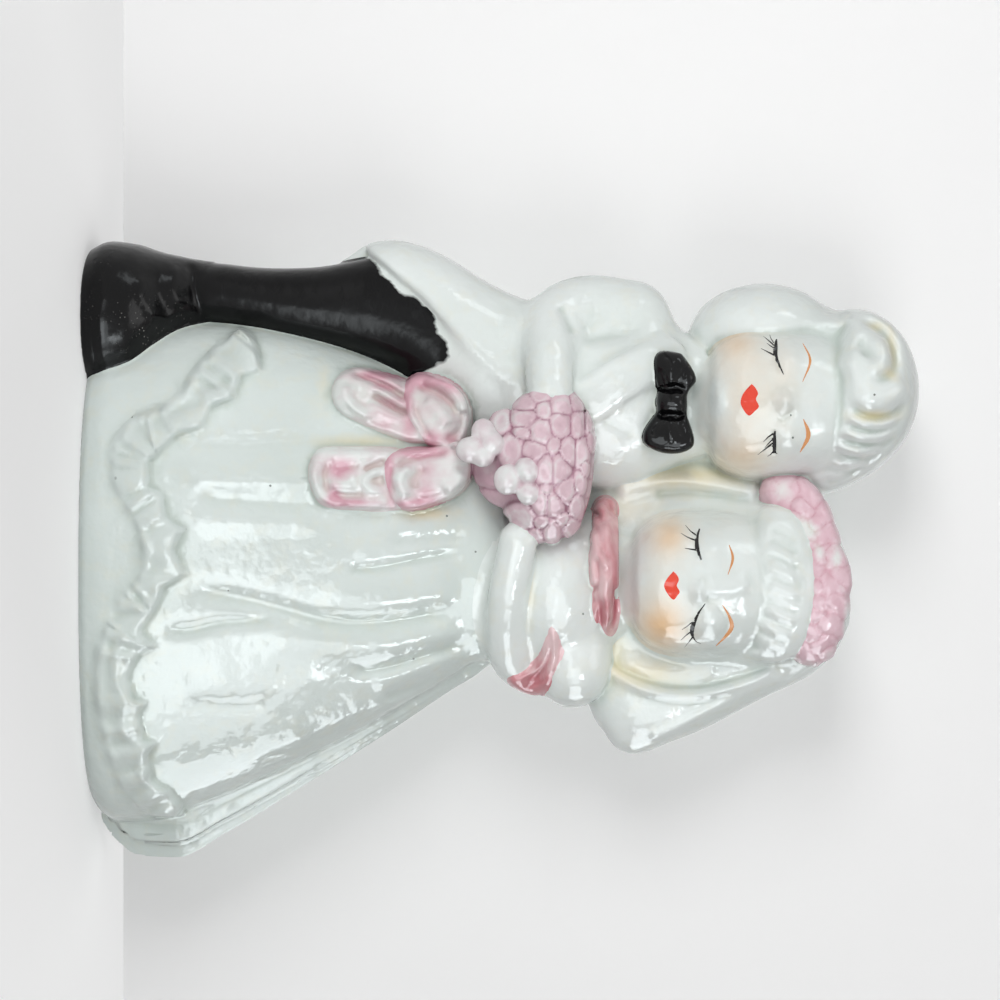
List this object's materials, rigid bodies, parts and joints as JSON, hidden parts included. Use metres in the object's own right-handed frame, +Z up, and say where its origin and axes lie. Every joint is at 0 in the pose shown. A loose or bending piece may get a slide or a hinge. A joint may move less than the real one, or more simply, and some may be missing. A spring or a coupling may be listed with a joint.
{
  "type": "wedding cake topper",
  "caption": "Glazed ceramic bride and groom standing side by side, with veil, flower headpiece, bow tie, bouquet and ruffled skirt on a hollow open foot.",
  "frame": {"origin": "middle of the outline seen from above, on the plane that the foot stands on", "axes": "+Z up from the foot to the heads, front of the couple faces -Y, +X towards the bride"},
  "size_m": [0.096, 0.0436, 0.1276],
  "materials": {
    "white_glaze": "high gloss",
    "black_enamel": "high gloss",
    "mauve_glaze": "high gloss",
    "rose_glaze": "high gloss",
    "pale_pink_glaze": "high gloss"
  },
  "bodies": {
    "root": {"skirt": "white_glaze", "train": "white_glaze", "shoe": "black_enamel", "trousers": "black_enamel", "arm_band": "rose_glaze", "puff_sleeve": "white_glaze", "bride_arm": "white_glaze", "groom_sleeve": "white_glaze", "groom_head": "white_glaze", "bride_head": "white_glaze", "bow_tie": "black_enamel", "coat_lapel": "white_glaze", "tailcoat": "white_glaze", "collar": "rose_glaze", "bodice": "white_glaze", "flower_headpiece": "pale_pink_glaze", "bride_hair": "white_glaze", "groom_hair": "white_glaze", "veil": "white_glaze", "rosebud_1": "white_glaze", "rosebud_2": "white_glaze", "rosebud_3": "white_glaze", "rosebud_4": "white_glaze", "rosebud_5": "white_glaze", "rosebud_6": "white_glaze", "rosebud_7": "white_glaze", "bouquet": "mauve_glaze", "bow_loop_left": "mauve_glaze", "bow_loop_right": "mauve_glaze", "bow_tail_left": "mauve_glaze", "bow_tail_right": "mauve_glaze", "hem_ruffle": "white_glaze"}
  },
  "joints": []
}
